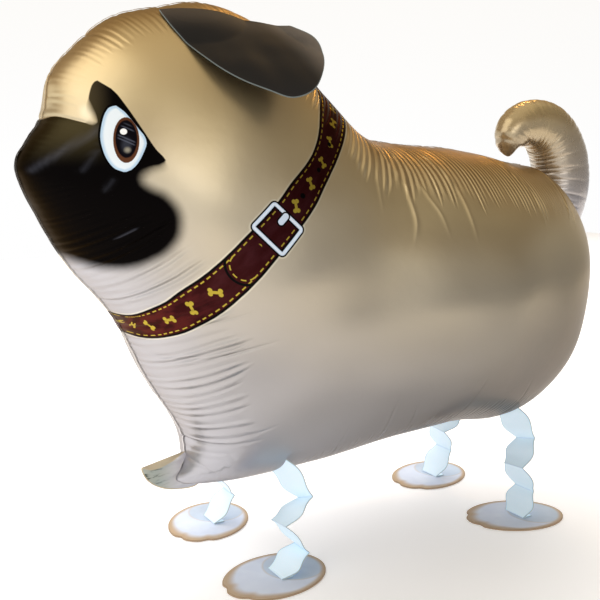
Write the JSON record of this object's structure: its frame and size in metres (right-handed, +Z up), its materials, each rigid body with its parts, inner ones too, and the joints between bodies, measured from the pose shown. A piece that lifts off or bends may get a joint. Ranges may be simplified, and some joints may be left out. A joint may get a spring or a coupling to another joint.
{
  "type": "pug foil balloon",
  "caption": "Inflated foil pug with printed face and collar, flat ear flaps, curled tail and folded card legs on oval card feet.",
  "frame": {"origin": "on the floor, under the middle of the overall box", "axes": "+Z up; the nose points to -X; the dog's left side faces -Y, and its weld lies in the plane y = 0"},
  "size_m": [0.6632, 0.3154, 0.5255],
  "materials": {
    "printed_foil": "satin metallised film printed in fawn, with a black-brown mask and a maroon collar",
    "tail_foil": "satin metallised film, gold to silver-grey",
    "ear_foil": "satin black-brown film with a thin pale edge",
    "leg_card": "plain white card",
    "foot_card": "white card with a soft tan printed rim"
  },
  "bodies": {
    "root": {"foil_body": "printed_foil", "tail": "tail_foil", "ear_left": "ear_foil", "ear_right": "ear_foil", "leg_front_left": "leg_card", "leg_front_right": "leg_card", "leg_rear_left": "leg_card", "leg_rear_right": "leg_card", "foot_front_left": "foot_card", "foot_front_right": "foot_card", "foot_rear_left": "foot_card", "foot_rear_right": "foot_card"}
  },
  "joints": []
}
